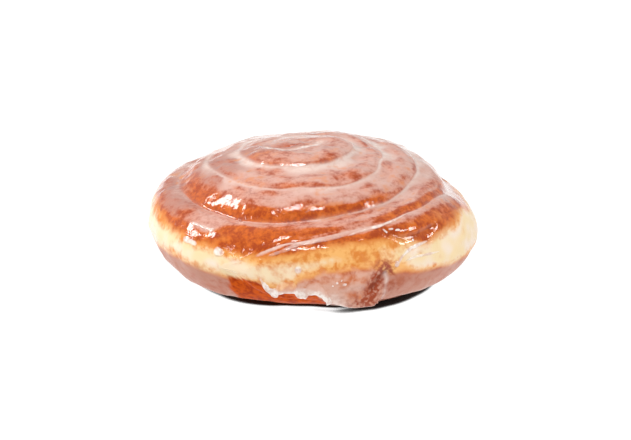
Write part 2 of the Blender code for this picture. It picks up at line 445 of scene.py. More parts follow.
def hem(points):
    """Sets the base back under the tail's lower edge."""
    angle = compass(points)
    line = eased(angle, TAIL_HEM)
    starting = smooth(angle, TAIL_HEM[0][0], TAIL_HEM[1][0])
    ending = smooth(angle, TAIL_HEM[-2][0], TAIL_HEM[-1][0])
    below = 1.0 - step(points[:, 2], line, HEM_BLUNTNESS)
    return moved_out(points, -HEM_STEP * starting * (1.0 - ending) * below * near_rim(points))


def tuck(points):
    """Draws the foot in a little at the front."""
    angle = compass(points)
    here = smooth(angle, *TUCK_ENDS[:2]) * (1.0 - smooth(angle, *TUCK_ENDS[2:]))
    return moved_out(points, -TUCK * here * (1.0 - smooth(points[:, 2], 0.0, TUCK_TOP)))


def shaped(points):
    points = points + lumps(points)
    points = tuck(droop(hem(points)))
    lift = np.clip(points[:, 2] / (2.0 * SETTLED_BLUNTNESS) + 0.5, 0.0, 1.0)
    points[:, 2] = np.maximum(points[:, 2], SETTLED_BLUNTNESS * lift**2)
    return points


# %% [markdown]
# ## Where the glaze gathers
#
# Glaze runs off the shoulders of the dough and gathers in its creases. It half fills them, so that the bottom
# of a crease is a soft pale channel and not a sharp cut. The tables say how much glaze each stretch of the
# crease holds and how wide it lies, again by turns. The last one says where it set white.

# %% Glaze in the creases
POOL_AMOUNTS = (
    (0.15, 0.0), (0.35, 0.8), (0.62, 1.0), (1.05, 0.9), (1.3, 0.7), (1.62, 1.0), (1.76, 0.65), (1.96, 0.5),
    (2.1, 0.7), (2.7, 0.75), (2.86, 0.4), (3.0, 0.2), (3.14, 0.45), (3.4, 0.55), (3.62, 0.7), (3.76, 0.3),
    (3.86, 0.55), (3.92, 1.0),
)
POOL_WIDTHS = (
    (0.2, 0.0022), (0.9, 0.003), (1.3, 0.0024), (1.62, 0.003), (1.8, 0.0028), (2.5, 0.0026), (2.62, 0.0034),
    (2.86, 0.0017), (3.3, 0.0022), (3.6, 0.002), (3.72, 0.0008), (3.86, 0.001), (3.9, 0.0018),
    (3.94, 0.003),
)
FILL_AMOUNTS = (
    (0.15, 0.0), (0.35, 0.8), (2.6, 1.0), (2.8, 0.5), (3.0, 0.2), (3.2, 0.3), (3.5, 0.9), (3.8, 0.7),
    (3.92, 1.0),
)
WHITE_BY_TURN = (
    (2.4, 0.35), (2.6, 0.55), (2.8, 0.35), (3.1, 0.3), (3.4, 0.1), (3.6, 0.55), (3.76, 0.3), (3.88, 0.0),
)
PATCHY_LENGTH = 0.008
PATCHY_SEED = 11
POOL_FILL = 0.0017
FILL_REACH = 0.0017


def glaze_in_creases(points, turns, share):
    """How much glaze pools at each point of the top, and the points with the creases half filled."""
    inner_distance, outer_distance = share * STRIP_WIDTH, (1.0 - share) * STRIP_WIDTH
    outermost = smooth(turns, CREASES_END - 0.01, CREASES_END)
    open_inside = 1.0 - smooth(turns, STRIP_END - 0.01, STRIP_END)
    inner_amount = eased(turns - 1.0, POOL_AMOUNTS) * open_inside
    outer_amount = eased(turns, POOL_AMOUNTS) * (1.0 - outermost)
    patchy = np.maximum(0.85 + 1.3 * noise_vectors(points, PATCHY_LENGTH, PATCHY_SEED)[:, 0], 0.15)
    inner = bell(inner_distance, 0.0, eased(turns - 1.0, POOL_WIDTHS) * patchy) * inner_amount
    outer = bell(outer_distance, 0.0, 0.0011) * outer_amount
    inner_fill = bell(inner_distance, 0.0, FILL_REACH) * eased(turns - 1.0, FILL_AMOUNTS) * open_inside
    outer_fill = bell(outer_distance, 0.0, FILL_REACH) * eased(turns, FILL_AMOUNTS) * (1.0 - outermost)
    raised = points.copy()
    raised[:, 2] += POOL_FILL * np.maximum(inner_fill, outer_fill) * relief(turns)
    return np.maximum(inner, outer), raised


# %% [markdown]
# The middle of the coil is a plump button with one hooked crease in it. At the right, where the tail folds
# over, a short second crease splits the outer turn, and the drooping corner has a fold of its own. Each is a
# shallow groove along a route, and the flap and the fold are also painted darker as shade. The hook's route
# is seen from above, and the others are given by compass direction and height, as on a paper label peeled
# off the side of the roll. The milk, sheen and scorch routes press nothing in: they only say where glaze has
# run white, where a sheen is painted on the corner as a highlight, and where the corner was fried brown.

# %% Routes of the small creases
BUTTON_RADIUS = 0.0105
BUTTON_RISE = 0.0013
HOOK_ROUTE = (
    (0.003, 0.004), (0.0012, -0.0005), (-0.0036, -0.0036), (-0.008, -0.0062), (-0.0116, -0.006),
    (-0.015, -0.003), (-0.0166, 0.0012),
)
HOOK_DEPTH = 0.0011
HOOK_WIDTH = 0.001
SIDE_RADIUS = 0.059


def on_side(*corners):
    """A route on the roll's side. Each corner is a compass direction in degrees and a height in metres."""
    return tuple((math.radians(turn) * SIDE_RADIUS, height) for turn, height in corners)


FLAP_ROUTE = on_side((297.5, 0.0322), (300.5, 0.0305), (303.0, 0.0292), (310.0, 0.0291), (318.0, 0.03))
FLAP_DEPTH = 0.0009
FLAP_WIDTH = 0.0008
FOLD_ROUTE = on_side((295.0, 0.0188), (293.0, 0.0172), (291.2, 0.0152), (290.4, 0.0138))
FOLD_DEPTH = 0.0014
FOLD_WIDTH = 0.0015
MILK_ROUTE = on_side((277.6, 0.0105), (279.5, 0.007), (283.0, 0.0042), (288.0, 0.003))
MILK_WIDTH = 0.0026
# A painted sheen: a pale streak on the drooping corner that stands for a highlight.
PAINTED_SHEEN_ROUTE = on_side((279.5, 0.0128), (283.0, 0.0148), (286.5, 0.015))
PAINTED_SHEEN_WIDTH = 0.0015
SCORCH_ROUTE = on_side((294.6, 0.0192), (292.0, 0.0165), (290.4, 0.013), (289.0, 0.0085), (287.5, 0.004))
SCORCH_WIDTH = 0.0044
SCORCH_SPREAD = 0.011
SCORCH_FADE = (0.013, 0.0175)


def beside(plane, route):
    """Distance of each row of plane, a pair of coordinates, from a route given by its corners."""
    nearest = np.full(len(plane), np.inf)
    for start, end in zip(np.array(route[:-1]), np.array(route[1:])):
        along = np.clip((plane - start) @ (end - start) / np.sum((end - start) ** 2), 0.0, 1.0)
        away = plane - (start + along[:, None] * (end - start))
        nearest = np.minimum(nearest, np.hypot(away[:, 0], away[:, 1]))
    return nearest


def small_creases(points, on_top):
    """Presses the small creases in, and returns the points with each crease's strength at them."""
    side = np.stack([compass(points) * SIDE_RADIUS, points[:, 2]], axis=-1)
    outside = near_rim(points)

    def line(route, width):
        return bell(beside(side, route), 0.0, width) * outside

    flap, fold = line(FLAP_ROUTE, FLAP_WIDTH), line(FOLD_ROUTE, FOLD_WIDTH)
    pressed = moved_out(points, -FLAP_DEPTH * flap - FOLD_DEPTH * fold)
    # White glaze along the milk route, and a painted sheen at half strength along the sheen route.
    milk_and_sheen = np.maximum(line(MILK_ROUTE, MILK_WIDTH), 0.5 * line(PAINTED_SHEEN_ROUTE, PAINTED_SHEEN_WIDTH))
    around = 0.65 * line(SCORCH_ROUTE, SCORCH_SPREAD) * (1.0 - smooth(points[:, 2], *SCORCH_FADE))
    scorch = np.maximum(line(SCORCH_ROUTE, SCORCH_WIDTH), around)
    hook = np.zeros(len(points))
    if on_top:
        from_middle = points[:, :2] - np.array(COIL_MIDDLE)
        pressed[:, 2] += BUTTON_RISE * bell(from_axis(from_middle), 0.0, BUTTON_RADIUS)
        hook = bell(beside(points[:, :2], HOOK_ROUTE), 0.0, HOOK_WIDTH)
        pressed[:, 2] -= HOOK_DEPTH * hook
    return pressed, {"hook": hook, "flap": flap, "fold": fold, "milk_and_sheen": milk_and_sheen, "scorch": scorch}


# %% [markdown]
# ## Places on the roll
#
# Rather than painting the roll by eye, each point of the mesh carries a few numbers between 0 and 1: how much
# glaze pools there, how bare the shoulder is, whether the point lies on the pale belt that never touched the
# hot fat, on the underside, or on the dry patch of base that the glaze ran past. The material reads them as
# attributes. Compass directions run from 0 at the right, through 90 at the back, to 270 in front.

# %% Streaks along the strip
STREAK_SIZES = ((0.013, 0.0036), (0.0052, 0.0019))
STREAK_SEED = 21


def strip_length(turns):
    """Metres along the strip after so many turns."""
    return 2.0 * math.pi * (CORE_RADIUS * turns + STRIP_WIDTH * turns * (turns - 1.0) / 2.0)


def streaks(turns, share):
    """Two noises that are drawn out along the strip, each between about -1 and 1."""
    along = strip_length(turns)
    across = share * STRIP_WIDTH
    layers = []
    for number, (length, width) in enumerate(STREAK_SIZES):
        noise.seed_set(STREAK_SEED + number)
        spots = [noise.noise(Vector((a / length, b / width, number))) for a, b in zip(along, across)]
        layers.append(np.array(spots) * (1.0 - smooth(turns, STRIP_END - 0.14, STRIP_END - 0.06)))
    return layers


# %% Belt, underside and dry patch
BELT_LOW = by_compass(
    (0, 0.012), (90, 0.012), (180, 0.0135), (206, 0.0168), (222, 0.0176), (237, 0.0158), (243, 0.0152),
    (252, 0.0152), (258, 0.0138), (263, 0.0156), (268, 0.0192), (276, 0.0212), (288, 0.0216), (298, 0.0182),
    (314, 0.0156), (330, 0.0144), (346, 0.013),
)
BELT_HIGH = by_compass(
    (0, 0.0252), (30, 0.0254), (90, 0.025), (176, 0.028), (194, 0.0286), (208, 0.027), (218, 0.026),
    (230, 0.0254), (252, 0.025), (264, 0.0276), (281, 0.03), (296, 0.0298), (314, 0.0266), (326, 0.0284),
    (338, 0.03), (350, 0.0262),
)
BELT_SOFTNESS = 0.0026
BELT_REACH = (0.044, 0.05)
# The next two place the painted shade on the crust close to the table: how far out it starts and the height
# over which it fades.
FOOT_SHADE_REACH = (0.04, 0.046)
FOOT_SHADE_FADE = (0.0026, 0.0066)
BELT_EDGE = 0.0048
GOLD = by_compass(
    (0, -0.2), (60, 0.2), (90, 0.4), (170, 0.25), (215, 0.1), (240, 0.15), (252, 0.35), (262, 0.5),
    (278, 0.8), (288, 0.9), (299, 0.75), (308, -0.1), (350, -0.2),
)
MATT = by_compass((0, 0.7), (30, 0.5), (60, 0.0), (312, 0.0), (336, 0.7), (360, 0.7))
RUN = by_compass((253, 0.0), (262, 1.0), (293, 1.0), (296, 0.0))
DUSK = by_compass((150, 0.0), (185, 1.0), (208, 0.8), (222, 0.0))
BARE_BY_TURN = (
    (0.74, 0.0), (0.82, 0.4), (0.94, 0.4), (1.02, 0.0), (1.6, 0.0), (1.74, 0.15), (1.86, 0.15), (2.0, -0.2),
    (2.6, -0.3), (2.7, -0.3), (2.8, 0.2), (2.9, 0.6), (2.95, 1.1), (3.04, 1.2), (3.12, 0.4), (3.6, 0.3),
    (3.69, 0.9), (3.78, 0.9), (3.83, 0.4), (3.9, 1.0), (3.95, 1.2), (4.04, 1.1), (4.12, 0.6), (4.6, 0.6),
    (4.7, 0.8), (4.86, 1.1), (4.93, 0.8),
)
SHOULDER_STARTS = (
    (2.0, 0.62), (3.0, 0.52), (3.6, 0.6), (3.85, 0.48), (3.92, 0.15), (3.955, 0.15), (4.0, 0.44),
    (4.1, 0.5), (4.6, 0.25), (4.7, 0.1), (4.86, 0.05),
)
# A painted highlight: a pale line down the drooping corner's right edge, as if the edge caught the light.
EDGE_HIGHLIGHT = math.radians(295.2)
EDGE_HIGHLIGHT_WIDTH = 0.0007
EDGE_HIGHLIGHT_TOP = 0.02
PATCH_LEFT = -0.029
PATCH_LEFT_SOFTNESS = 0.0004
PATCH_LEAN = 0.003
PATCH_RIGHT = math.radians(279.0)
PATCH_TOP = by_compass(
    (238, 0.0172), (244, 0.0166), (250, 0.0164), (253, 0.0148), (256, 0.0118), (262, 0.014), (267, 0.0122),
    (270, 0.0135), (274, 0.0105), (277, 0.006), (279, 0.002),
)
PATCH_CRISPNESS = 0.0003


def places(points, turns, share, on_top):
    """The attributes of each point that depend on where it lies, as a dictionary of arrays."""
    angle = compass(points)
    height = points[:, 2]
    outermost = smooth(turns, CREASES_END - 0.01, CREASES_END)
    bare = np.zeros(len(points))
    if on_top:
        begins = eased(turns, SHOULDER_STARTS)
        shoulder = smooth(share, begins, begins + 0.16) * (1.0 - (1.0 - outermost) * smooth(share, 0.96, 1.0))
        bare = shoulder * eased(turns, BARE_BY_TURN)
    low, high = eased(angle, BELT_LOW), eased(angle, BELT_HIGH)
    above_low, below_high = step(height, low, BELT_SOFTNESS), 1.0 - step(height, high, BELT_SOFTNESS)
    reach = smooth(from_axis(points), *BELT_REACH)
    heart = smooth(height, low, low + BELT_EDGE) * (1.0 - smooth(height, high - BELT_EDGE, high))
    left = PATCH_LEFT + PATCH_LEAN * (1.0 - smooth(height, 0.006, 0.011))
    across = step(points[:, 0], left, PATCH_LEFT_SOFTNESS) * (angle > math.pi) * (angle < PATCH_RIGHT)
    below_top = 1.0 - step(height, eased(angle, PATCH_TOP), PATCH_CRISPNESS)
    # Painted highlight down the corner's right edge, stored in lip.
    edge_highlight = bell(angle * SIDE_RADIUS, EDGE_HIGHLIGHT * SIDE_RADIUS, EDGE_HIGHLIGHT_WIDTH)
    edge_highlight = edge_highlight * (1.0 - smooth(height, EDGE_HIGHLIGHT_TOP - 0.002, EDGE_HIGHLIGHT_TOP)) * reach
    return {
        "bare": bare,
        "lip": 0.45 * edge_highlight,
        "belt": above_low * below_high * reach,
        "under": (1.0 - above_low) * below_high,
        "belt_heart": heart * reach,
        "gold": eased(angle, GOLD),
        "dusk": eased(angle, DUSK),
        "run": eased(angle, RUN),
        "matt": eased(angle, MATT) * below_high * reach,
        "patch": across * below_top,
        # low: painted shade, darker towards the table at the outer rim, where the belly shades the crust.
        "low": (1.0 - smooth(height, *FOOT_SHADE_FADE)) * smooth(from_axis(points), *FOOT_SHADE_REACH),
    }


# %% [markdown]
# ## Rolling up the dough
#
# The grid is fine enough to carry the small relief of a fried and glazed crust: blisters a few millimetres
# across and wrinkles finer than that. Both are noise again, only smaller. The mesh is smoothed afterwards
# where glaze lies in the creases, and at the tip of the tail.

# %% The dough mesh
STEPS_PER_TURN = 360
TOP_STEPS = 28
UNDER_STEPS = 16
WELD = 1e-6
START_REACH, TIP_REACH = 0.00016, 0.002
SOFT_POOL = 0.16
SOFTENING = 14
TIP_ENDS = (math.radians(228), math.radians(254))
TIP_LOW, TIP_HIGH = 0.006, 0.0238
TIP_SOFTENING = 16
SKIN_RELIEF = ((0.009, 0.00045), (0.0046, 0.00026), (0.0019, 0.00007))
SKIN_SEED = 5
PINCHES = ((2.96, 0.018), (3.945, 0.014))
GATHER_SEED = 31
GATHER_SIZE = 0.0006
CRUMB_SIZE = 0.00016


def blisters(points):
    """Three sizes of noise, each as a length and a height in metres, kept off the foot."""
    offsets = np.zeros_like(points)
    for number, (length, height) in enumerate(SKIN_RELIEF):
        offsets += height * noise_vectors(points, length, SKIN_SEED + number)
    return offsets * smooth(points[:, 2], 0.0, 0.004)[:, None]


def gathers(turns, share):
    """Short wrinkles across the strip, where the coil was pinched at its left."""
    along = strip_length(turns)
    pinched = sum(bell(turns, *pinch) for pinch in PINCHES)
    height = np.zeros(len(turns))
    noise.seed_set(GATHER_SEED)
    for number in np.flatnonzero(pinched > 0.02):
        place = Vector((along[number] / 0.0015, share[number] * 1.5, 0.0))
        height[number] = GATHER_SIZE * noise.noise(place) * pinched[number]
    return height * smooth(share, 0.4, 0.7)


def coordinates(body):
    return np.array([vert.co for vert in body.verts], float)


def flat_sheet(steps_along, steps_across):
    """A flat grid, with each point's share of the way along it and across it."""
    sheet = bmesh.new()
    bmesh.ops.create_grid(sheet, x_segments=steps_along, y_segments=steps_across, size=0.5)
    flat = coordinates(sheet) + 0.5
    return sheet, flat[:, 0], flat[:, 1]


def as_mesh(name, body):
    """A bmesh turned into a mesh that is shaded smooth."""
    mesh = bpy.data.meshes.new(name)
    body.to_mesh(mesh)
    body.free()
    mesh.shade_smooth()
    return mesh


def laid_out(sheet, points, marks):
    """A sheet moved to these points, with its places stored on them, as a mesh."""
    for vert, point in zip(sheet.verts, points):
        vert.co = point
    for name, values in marks.items():
        layer = sheet.verts.layers.float.new(name)
        for vert, value in zip(sheet.verts, values):
            vert[layer] = value
    return as_mesh("sheet", sheet)


def rolled_up(on_top, steps_across):
    """One skin of the strip as a mesh, and where its two ends are."""
    sheet, along, share = flat_sheet(round(STRIP_END * STEPS_PER_TURN), steps_across)
    turns = np.round(STRIP_END * STEPS_PER_TURN * along) / STEPS_PER_TURN
    points = skin(turns, share, on_top)
    pool = np.zeros(len(points))
    if on_top:
        pool, points = glaze_in_creases(points, turns, share)
    points = shaped(points)
    marks = places(points, turns, share, on_top)
    points, creased = small_creases(points, on_top)
    broad, fine = streaks(turns, share)
    white = np.maximum(0.9 * creased["hook"], pool * eased(turns, WHITE_BY_TURN))
    marks |= {
        "pool": np.maximum(pool, creased["hook"]),
        # fold: painted shade, the flap and fold creases drawn darker.
        "fold": np.maximum(0.5 * creased["flap"], creased["fold"]),
        "scorch": creased["scorch"],
        # lip takes the white glaze, the painted sheen and the pooled white.
        "lip": np.maximum(np.maximum(0.6 * creased["milk_and_sheen"], white), marks["lip"]),
        "broad_streak": broad,
        "fine_streak": fine,
    }
    if on_top:
        off_seams = smooth(share, 0.0, 0.1) * (1.0 - smooth(share, 0.9, 1.0))
        points[:, 2] += (gathers(turns, share) - CRUMB_SIZE * fine) * off_seams
    points = points + blisters(points)
    ends = []
    for turn, reach in ((0.0, START_REACH), (STRIP_END, TIP_REACH)):
        place = points[np.isclose(turns, turn) & np.isclose(share, 0.0)][0]
        ends.append((Vector(place), reach))
    return laid_out(sheet, points, marks), ends


def dough_mesh():
    """Both skins welded together, and smoothed where the glaze lies and at the tail's tip."""
    body = bmesh.new()
    ends = []
    for on_top, steps_across in ((True, TOP_STEPS), (False, UNDER_STEPS)):
        mesh, strip_ends = rolled_up(on_top, steps_across)
        ends.extend(strip_ends)
        body.from_mesh(mesh)
        bpy.data.meshes.remove(mesh)
    bmesh.ops.remove_doubles(body, verts=body.verts, dist=WELD)
    bmesh.ops.dissolve_degenerate(body, edges=body.edges, dist=WELD)
    for place, reach in ends:
        close = [vert for vert in body.verts if (vert.co - place).length < reach]
        if len(close) > 1:
            bmesh.ops.pointmerge(body, verts=close, merge_co=place)
    loose = [face for face in body.faces if any(len(edge.link_faces) == 1 for edge in face.edges)]
    bmesh.ops.delete(body, geom=loose, context="FACES")
    bmesh.ops.recalc_face_normals(body, faces=body.faces)
    points = coordinates(body)
    middle = (points.min(axis=0) + points.max(axis=0)) / 2.0
    offset = Vector((-middle[0], -middle[1], -points[:, 2].min()))
    bmesh.ops.translate(body, verts=body.verts, vec=offset)
    pool = body.verts.layers.float["pool"]
    glazed = [vert for vert in body.verts if vert[pool] > SOFT_POOL]
    points = coordinates(body)
    angle, height = compass(points), points[:, 2]
    at_tip = (angle > TIP_ENDS[0]) & (angle < TIP_ENDS[1]) & (from_axis(points) > FRONT_ENDS)
    at_tip = at_tip & (height > TIP_LOW) & (height < TIP_HIGH)
    tip = [vert for vert, inside in zip(body.verts, at_tip) if inside]
    every_way = {"use_axis_x": True, "use_axis_y": True, "use_axis_z": True}
    for chosen, times in ((glazed, SOFTENING), (tip, TIP_SOFTENING)):
        for _ in range(times):
            bmesh.ops.smooth_vert(body, verts=chosen, factor=0.5, **every_way)
    body.normal_update()
    level = body.verts.layers.float.new("level")
    for vert in body.verts:
        vert[level] = max(vert.normal.z, 0.0)
    return as_mesh("roll", body)


roll = put("roll", dough_mesh())
print("roll:", len(roll.data.vertices), "points,", len(roll.data.polygons), "faces")

# %% [markdown]
# ## The crust's material
#
# Under the glaze the crust is a mottled orange brown. The glaze over it is a thin milky film, thicker in some
# spots than in others, so its cover is broken up with noise of several sizes. The belt is cream, and glaze
# gathers almost white in the creases. Gloss comes from the shader's own coat, with a fine bump to break its
# highlights into crumbs.

# %% Helpers for node trees
def srgb(red, green, blue):
    """A colour given as screen values from 0 to 255, turned into the linear values that shaders use."""
    channels = []
    for value in (red, green, blue):
        share = value / 255.0
        channels.append(share / 12.92 if share <= 0.04045 else ((share + 0.055) / 1.055) ** 2.4)
    return (*channels, 1.0)


class Tree:
    """Short names for adding nodes to a material and joining them up."""

    def __init__(self, material):
        self.tree = material.node_tree
        self.place = self.add("ShaderNodeTexCoord").outputs["Object"]

    def add(self, kind):
        return self.tree.nodes.new(kind)

    def join(self, source, target):
        if isinstance(source, (int, float, tuple)):
            target.default_value = source
        else:
            self.tree.links.new(source, target)

    def attributes(self, names):
        """Sockets with the places stored on the points."""
        sockets = []
        for name in names.split():
            node = self.add("ShaderNodeAttribute")
            node.attribute_name = name
            sockets.append(node.outputs["Fac"])
        return sockets

    def noise(self, size, detail=2.0, roughness=0.5, distortion=0.0):
        """Noise whose spots are about size metres across."""
        node = self.add("ShaderNodeTexNoise")
        self.join(self.place, node.inputs["Vector"])
        settings = {"Scale": 1.0 / size, "Detail": detail, "Roughness": roughness, "Distortion": distortion}
        for name, value in settings.items():
            node.inputs[name].default_value = value
        return node.outputs["Fac"]

    def math(self, operation, first, second, clamp=False):
        node = self.add("ShaderNodeMath")
        node.operation = operation
        node.use_clamp = clamp
        self.join(first, node.inputs[0])
        self.join(second, node.inputs[1])
        return node.outputs["Value"]

    def times(self, value, amount):
        return self.math("MULTIPLY", value, amount)

    def swing(self, value, amount):
        """Noise about its middle, times amount."""
        return self.times(self.math("SUBTRACT", value, 0.5), amount)

    def total(self, result, *others):
        """Sum of numbers and sockets."""
        for value in others:
            result = self.math("ADD", result, value)
        return result

    def ramp(self, value, low, high, start=0.0, end=1.0):
        return smooth_ramp(self.tree, value, low, high, start, end)

    def mix(self, share, first, second):
        node = self.add("ShaderNodeMix")
        node.data_type = "RGBA"
        colour_a, colour_b = [socket for socket in node.inputs if socket.type == "RGBA"]
        self.join(share, node.inputs["Factor"])
        self.join(first, colour_a)
        self.join(second, colour_b)
        return [socket for socket in node.outputs if socket.type == "RGBA"][0]


# %% Crust and glaze colours
CRUST_DARK = srgb(170, 66, 14)
CRUST_LIGHT = srgb(214, 103, 25)
FILM = srgb(216, 166, 150)
POOLED = srgb(228, 194, 180)
# White of set glaze, also used for the painted highlights and sheen.
GLAZE_AND_HIGHLIGHT_WHITE = srgb(250, 240, 232)
THIN_GLAZE_AND_HIGHLIGHT_WHITE = srgb(224, 190, 176)
BELT_CREAM = srgb(245, 218, 170)
BELT_GOLD = srgb(246, 184, 108)
BELT_TOASTED = srgb(224, 134, 56)
BELT_MILKY = srgb(246, 226, 206)
SINGED = srgb(220, 126, 52)
UNDER = srgb(196, 138, 118)
UNDER_DARK = srgb(184, 106, 78)
DRY_BASE = srgb(206, 84, 2)
DRY_DARK = srgb(164, 52, 0)
DUSKY = srgb(184, 122, 104)
FOLD_PAINTED_SHADE = srgb(136, 52, 24)
SCORCH_BROWN = srgb(160, 66, 30)
FOOT_PAINTED_SHADE = srgb(104, 46, 28)
RUN_CRUST = srgb(206, 118, 70)
RUN_FILM = srgb(222, 170, 148)


crust_material, crust_shader = principled(
    "glazed_crust", Roughness=0.5, Specular_IOR_Level=0.05, Coat_Roughness=0.05, Coat_IOR=1.5
)
crust_tree = Tree(crust_material)


def crust_colour(tree):
    """Colour of the whole surface, from the places stored on its points."""
    times, swing, total, ramp, mix = tree.times, tree.swing, tree.total, tree.ramp, tree.mix
    pool, bare, level, broad, fine = tree.attributes("pool bare level broad_streak fine_streak")
    belt, heart, gold, under, run, dusk = tree.attributes("belt belt_heart gold under run dusk")
    # fold and low carry painted shade; lip carries white glaze together with painted highlights and sheen.
    scorch, fold, patch, lip, low = tree.attributes("scorch fold patch lip low")
    clouds = tree.noise(0.013, 2.0)
    banks = tree.noise(0.006, 3.0, 0.5, 0.4)
    spots = tree.noise(0.0034, 3.0, 0.5, 0.4)
    specks = tree.noise(0.0014, 2.0, 0.5)
    grain = tree.noise(0.0008, 2.0, 0.6)

    crust_spread = total(spots, times(fine, 0.15), swing(specks, 0.6), swing(grain, 0.5))
    crust = mix(ramp(crust_spread, 0.25, 0.75), CRUST_DARK, CRUST_LIGHT)
    cover = total(
        ramp(level, 0.5, 0.99, -0.1, 0.72), times(broad, 0.7), times(fine, 0.6), swing(spots, 1.3),
        swing(specks, 1.0), swing(grain, 0.6), times(bare, -1.0), times(pool, 0.9),
    )
    pooled = total(pool, times(broad, 0.5), swing(specks, 0.5))
    film = mix(ramp(pooled, 0.2, 1.1), mix(dusk, FILM, DUSKY), POOLED)
    top = mix(ramp(cover, -0.25, 1.15), crust, film)

    milky = total(swing(banks, 1.0), times(fine, 1.4), times(broad, 0.6), 0.4)
    pale = mix(ramp(milky, -0.2, 1.2), BELT_CREAM, BELT_MILKY)
    toasted = ramp(total(spots, swing(clouds, 0.8), swing(specks, 0.4)), 0.4, 0.72)
    golden = mix(toasted, BELT_GOLD, BELT_TOASTED)
    goldness = total(
        gold, times(tree.math("SUBTRACT", 1.0, heart), 0.95), swing(clouds, 0.3),
        times(broad, 0.7), swing(spots, 1.0), times(fine, 0.5), swing(specks, 0.6), -0.2,
    )
    belt_colour = mix(ramp(goldness, 0.0, 1.0), pale, golden)
    ragged = total(swing(clouds, 0.9), swing(spots, 0.8), times(fine, 0.25))
    belt_share = total(belt, ragged)
    singed = mix(ramp(belt_share, 0.05, 0.5), top, SINGED)
    with_belt = mix(ramp(belt_share, 0.2, 0.9), singed, belt_colour)

    dark_under = ramp(total(spots, times(broad, 0.3)), 0.3, 0.8)
    below = mix(dark_under, UNDER, UNDER_DARK)
    run_cover = total(0.82, swing(spots, 2.2), swing(specks, 1.0), swing(clouds, 1.8))
    runny = mix(ramp(run_cover, 0.0, 1.0), RUN_CRUST, RUN_FILM)
    fraying = total(0.5, times(run, 0.8))
    under_share = ramp(total(under, times(ragged, fraying)), 0.2, 1.0)
    with_under = mix(under_share, with_belt, mix(run, below, runny))

    uneven = total(1.0, swing(spots, 1.8), swing(specks, 3.6))
    with_scorch = mix(ramp(times(scorch, uneven), 0.08, 1.15), with_under, SCORCH_BROWN)
    # Painted shade: the flap and fold creases are drawn dark brown.
    with_fold_shade = mix(times(fold, 0.7), with_scorch, FOLD_PAINTED_SHADE)
    speckled = total(spots, swing(specks, 0.8))
    with_patch = mix(patch, with_fold_shade, mix(ramp(speckled, 0.35, 0.75), DRY_BASE, DRY_DARK))
    # White glaze and painted highlights: the lip attribute mixes in white.
    with_white_and_highlights = mix(lip, with_patch, mix(ramp(speckled, 0.35, 0.7), GLAZE_AND_HIGHLIGHT_WHITE, THIN_GLAZE_AND_HIGHLIGHT_WHITE))
    # Painted shade: the crust turns dark brown close to the table, as shade under the belly.
    return mix(times(low, 0.7), with_white_and_highlights, FOOT_PAINTED_SHADE)


def coat(tree):
    """The glaze's gloss, which is missing from the dry patch and thin underneath."""
    under, patch, matt, lip = tree.attributes("under patch matt lip")
    dull = tree.math("MAXIMUM", tree.times(under, 0.65), tree.math("MAXIMUM", patch, matt))
    return tree.math("SUBTRACT", 1.0, tree.math("SUBTRACT", dull, lip, clamp=True))


crust_tree.join(crust_colour(crust_tree), crust_shader.inputs["Base Color"])
crust_tree.join(coat(crust_tree), crust_shader.inputs["Coat Weight"])

# %% Bump that breaks up the gloss
BUMP_HEIGHT = 0.0004


def bumped(tree, height, strength):
    bump = tree.add("ShaderNodeBump")
    bump.inputs["Distance"].default_value = BUMP_HEIGHT
    bump.inputs["Strength"].default_value = strength
    tree.join(height, bump.inputs["Height"])
    return bump.outputs["Normal"]


ripples = crust_tree.noise(0.0026, 3.0, 0.5)
crumbs = crust_tree.times(crust_tree.noise(0.0013, 2.0, 0.5), 0.5)
crumbly = crust_tree.ramp(crust_tree.noise(0.01, 1.0), 0.45, 0.62)
gloss_height = crust_tree.total(ripples, crust_tree.times(crumbs, crumbly))
crust_tree.join(bumped(crust_tree, ripples, 0.25), crust_shader.inputs["Normal"])
crust_tree.join(bumped(crust_tree, gloss_height, 0.35), crust_shader.inputs["Coat Normal"])
roll.data.materials.append(crust_material)
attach(roll, "root")
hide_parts("dough")

# %% [markdown]
# ## The glaze's lower edge
#
# In front, the glaze ran down over the tail and set before it reached the table, in a thick white lip with
# blunt drips. It stands proud of the dough, so it is a piece of its own: a fine grid laid over the side of
# the roll. Each of its points is found by looking straight in at the roll, and is then lifted off it by as
# much as the glaze is thick. A second sheet just inside the dough closes the piece.

# %% Shape of the lip and its drips
LIP_EDGE = by_compass(
    (251.0, 0.0178), (252.0, 0.017), (253.4, 0.0142), (254.6, 0.0126), (255.3, 0.0106), (256.3, 0.0101),
    (257.2, 0.0104), (258.4, 0.0124), (260.5, 0.0133), (263.6, 0.0134), (264.8, 0.0114), (265.8, 0.011),
    (266.4, 0.0113), (267.3, 0.011), (268.5, 0.0128), (270.5, 0.013), (272.4, 0.0118), (274.0, 0.0098),
    (275.4, 0.0066), (276.8, 0.0052),
)
LIP_WHITE_TOP = by_compass(
    (251.4, 0.019), (254.2, 0.0168), (256.5, 0.0146), (259.5, 0.014), (262.8, 0.0143), (264.6, 0.0152),
    (267.0, 0.0152), (270.5, 0.015), (275.6, 0.0123), (278.0, 0.0105),
)
LIP_BLEND = 0.0013
LIP_START, LIP_END = math.radians(251.0), math.radians(277.6)
LIP_FADE = math.radians(3.0)
LIP_STEP = 0.00026
LIP_HEIGHTS = by_compass((249.5, 0.0018), (252.5, 0.003), (257.0, 0.0058), (280.0, 0.0062))
LIP_ROWS = 30
LIP_THICKNESS = 0.001
LIP_ROUND = 0.16
SUNK = 0.0004
RAY_START = 0.09


def lip_profile(share):
    """Thickness of the glaze from its lower edge, at 0, to where it thins out, at 1."""
    rounded = np.sqrt(1.0 - (1.0 - np.clip(share / LIP_ROUND, 0.0, 1.0)) ** 2)
    return rounded * (1.0 - smooth(share, LIP_ROUND, 0.85)) - 0.15 * smooth(share, 0.7, 1.0)


